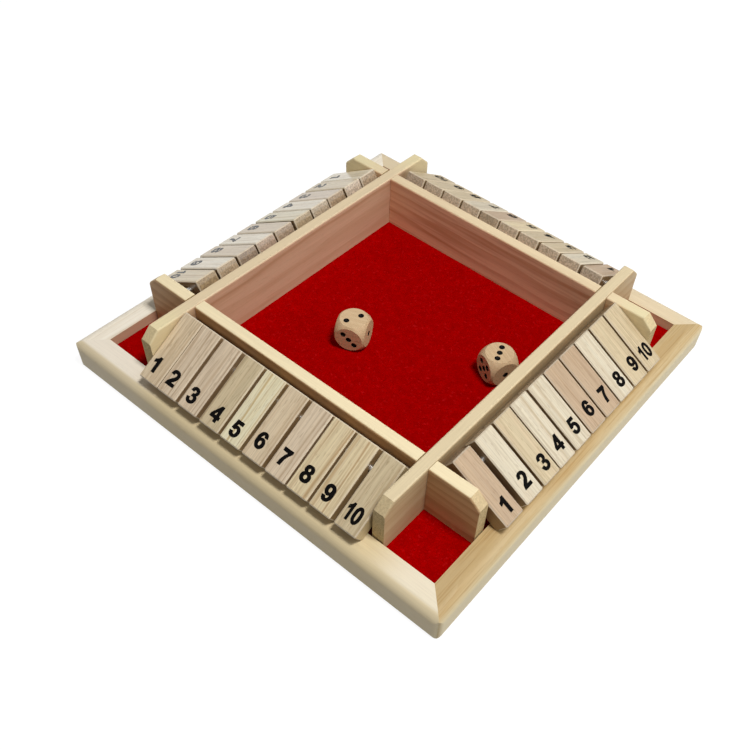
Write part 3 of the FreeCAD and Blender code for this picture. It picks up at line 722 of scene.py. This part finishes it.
# Each face of a die: the way it faces, and the two ways that its spots are counted in
FACES = {
    1: ((1, 0, 0), (0, 1, 0), (0, 0, 1)),
    6: ((-1, 0, 0), (0, 1, 0), (0, 0, 1)),
    2: ((0, 1, 0), (1, 0, 0), (0, 0, 1)),
    5: ((0, -1, 0), (1, 0, 0), (0, 0, 1)),
    3: ((0, 0, 1), (1, 0, 0), (0, 1, 0)),
    4: ((0, 0, -1), (1, 0, 0), (0, 1, 0)),
}


def make_pip_paint():
    """A film of paint that lines one drilled pip: the low cap of a ball, with a little thickness."""
    bpy.ops.object.select_all(action="DESELECT")
    bpy.ops.mesh.primitive_uv_sphere_add(segments=24, ring_count=24, radius=(PIP_BALL - PAINT) * MM)
    film = bpy.context.object
    bpy.ops.object.mode_set(mode="EDIT")
    bpy.ops.mesh.select_all(action="SELECT")
    rim = (PIP_DEPTH - PIP_BALL) * MM
    bpy.ops.mesh.bisect(plane_co=(0, 0, rim), plane_no=(0, 0, 1), clear_outer=True)
    bpy.ops.mesh.select_all(action="SELECT")
    bpy.ops.mesh.normals_make_consistent(inside=False)
    bpy.ops.object.mode_set(mode="OBJECT")
    finish_with(film, "SOLIDIFY", thickness=2 * PAINT * MM, offset=1.0)
    bpy.ops.object.shade_smooth()
    return film


def paint_pips():
    paint = black_coat("black_pip_paint", PIP_ROUGHNESS)
    film = make_pip_paint()
    out = DIE_SIDE / 2 + PIP_BALL - PIP_DEPTH
    for name in DICE_LIE:
        copies = []
        for face, ways in FACES.items():
            normal, first, second = [Vector(way) for way in ways]
            turn = Vector((0, 0, 1)).rotation_difference(normal).to_matrix().to_4x4()
            for one, two in PIPS[face]:
                spot = (normal * out + first * one * PIP_PITCH + second * two * PIP_PITCH) * MM
                copies.append(copy_to(die_place(name) @ Matrix.Translation(spot) @ turn, film))
        pips = join(copies, f"pips_{name}")
        dress(pips, paint)
        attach(pips, name)
    bpy.data.objects.remove(film)


# The stage: a wide floor just under the box. To the eye the floor and the sky are white, but for the
# shadow, and they give the box less light than that.
FLOOR_SIDE = 12000.0
FLOOR_DROP = 0.3
FLOOR_GIVES = (0.42, 0.42, 0.42, 1.0)
FLOOR_SHOWS = (0.14, 0.14, 0.14, 1.0)
FLOOR_GLOW = 0.93
SKY_GIVES = 0.2
SKY_SHOWS = 1.0
WHITE = "#FFFFFF"
# The lamps: the way to them, their distance and size, and their power in watts. The small one high up
# gives the crisp shadows, and the broad one low on the right fills the sides.
LAMPS = {
    "key_lamp": ((0.33, -0.03, 0.94), 1500.0, 300.0, 16.0),
    "side_lamp": ((0.83, 0.40, 0.39), 900.0, 700.0, 1.75),
}


def shown_to_the_eye(tree):
    """1 for rays that show the stage itself, 0 for light that it gives to the box."""
    rays = add(tree, "ShaderNodeLightPath").outputs
    shown = rays["Is Camera Ray"]
    for ray in ("Is Glossy Ray", "Is Transmission Ray"):
        shown = add(tree, "ShaderNodeMath", {0: shown, 1: rays[ray]}, operation="MAXIMUM").outputs[0]
    return shown


def lay_floor():
    bpy.ops.object.select_all(action="DESELECT")
    bpy.ops.mesh.primitive_plane_add(size=FLOOR_SIDE * MM, location=(0.0, 0.0, -FLOOR_DROP * MM))
    floor = bpy.context.object
    floor.name = "floor"
    material, tree, shader = new_material("pale_studio_floor")
    shown = shown_to_the_eye(tree)
    shade = add(tree, "ShaderNodeMix", {
        "Factor": shown, "A": FLOOR_GIVES, "B": FLOOR_SHOWS,
    }, data_type="RGBA")
    glow = add(tree, "ShaderNodeMath", {0: shown, 1: FLOOR_GLOW}, operation="MULTIPLY")
    tree.links.new(shade.outputs["Result"], shader.inputs["Base Color"])
    tree.links.new(glow.outputs[0], shader.inputs["Emission Strength"])
    shader.inputs["Emission Color"].default_value = srgb(WHITE)
    shader.inputs["Roughness"].default_value = 1.0
    shader.inputs["Specular IOR Level"].default_value = 0.0
    dress(floor, material)


def light_sky():
    world = bpy.data.worlds.new("soft_studio")
    scene.world = world
    world.use_nodes = True
    tree = world.node_tree
    sky = tree.nodes["Background"]
    sky.inputs["Color"].default_value = srgb(WHITE)
    shown = shown_to_the_eye(tree)
    level = add(tree, "ShaderNodeMapRange", {"Value": shown, "To Min": SKY_GIVES, "To Max": SKY_SHOWS})
    tree.links.new(level.outputs[0], sky.inputs["Strength"])


def hang_lamps():
    for name, (direction, distance, size, power) in LAMPS.items():
        toward = Vector(direction).normalized()
        bpy.ops.object.light_add(type="AREA", location=toward * (distance * MM))
        lamp = bpy.context.object
        lamp.name = name
        lamp.rotation_euler = toward.to_track_quat("Z", "Y").to_euler()
        lamp.data.shape = "DISK"
        lamp.data.size = size * MM
        lamp.data.energy = power


# The camera, found from points of the photograph: turn about +Z, height and roll in degrees,
# focal length and centre in pixels of a frame 750 wide, distances in millimetres
VIEW_TURN = 33.716
VIEW_HEIGHT = 50.374
VIEW_ROLL = 6.465
VIEW_DISTANCE = 558.069
VIEW_SLIDE = (-20.145, -54.113)
VIEW_TARGET = 15.0
FOCAL_PIXELS = 857.903
CENTRE_PIXELS = (59.221, 45.896)
FRAME_PIXELS = 750.0


def set_camera():
    turn = math.radians(VIEW_TURN)
    height = math.radians(VIEW_HEIGHT)
    roll = math.radians(VIEW_ROLL)
    back = Vector((math.sin(turn) * math.cos(height), -math.cos(turn) * math.cos(height), math.sin(height)))
    level = Vector((math.cos(turn), math.sin(turn), 0.0))
    rise = back.cross(level)
    right = level * math.cos(roll) + rise * math.sin(roll)
    up = rise * math.cos(roll) - level * math.sin(roll)
    spot = Vector((0, 0, VIEW_TARGET)) + back * VIEW_DISTANCE - right * VIEW_SLIDE[0] + up * VIEW_SLIDE[1]
    bpy.ops.object.camera_add()
    camera = bpy.context.object
    camera.matrix_world = Matrix.Translation(spot * MM) @ Matrix((right, up, back)).transposed().to_4x4()
    lens = camera.data
    lens.sensor_fit = "HORIZONTAL"
    lens.lens = FOCAL_PIXELS / FRAME_PIXELS * lens.sensor_width
    lens.shift_x = -CENTRE_PIXELS[0] / FRAME_PIXELS
    lens.shift_y = CENTRE_PIXELS[1] / FRAME_PIXELS
    scene.camera = camera


dress_frame()
dress_steel()
dress_flaps()
dress_dice()
lay_felt()
print_numbers()
paint_pips()
lay_floor()
light_sky()
hang_lamps()
set_camera()
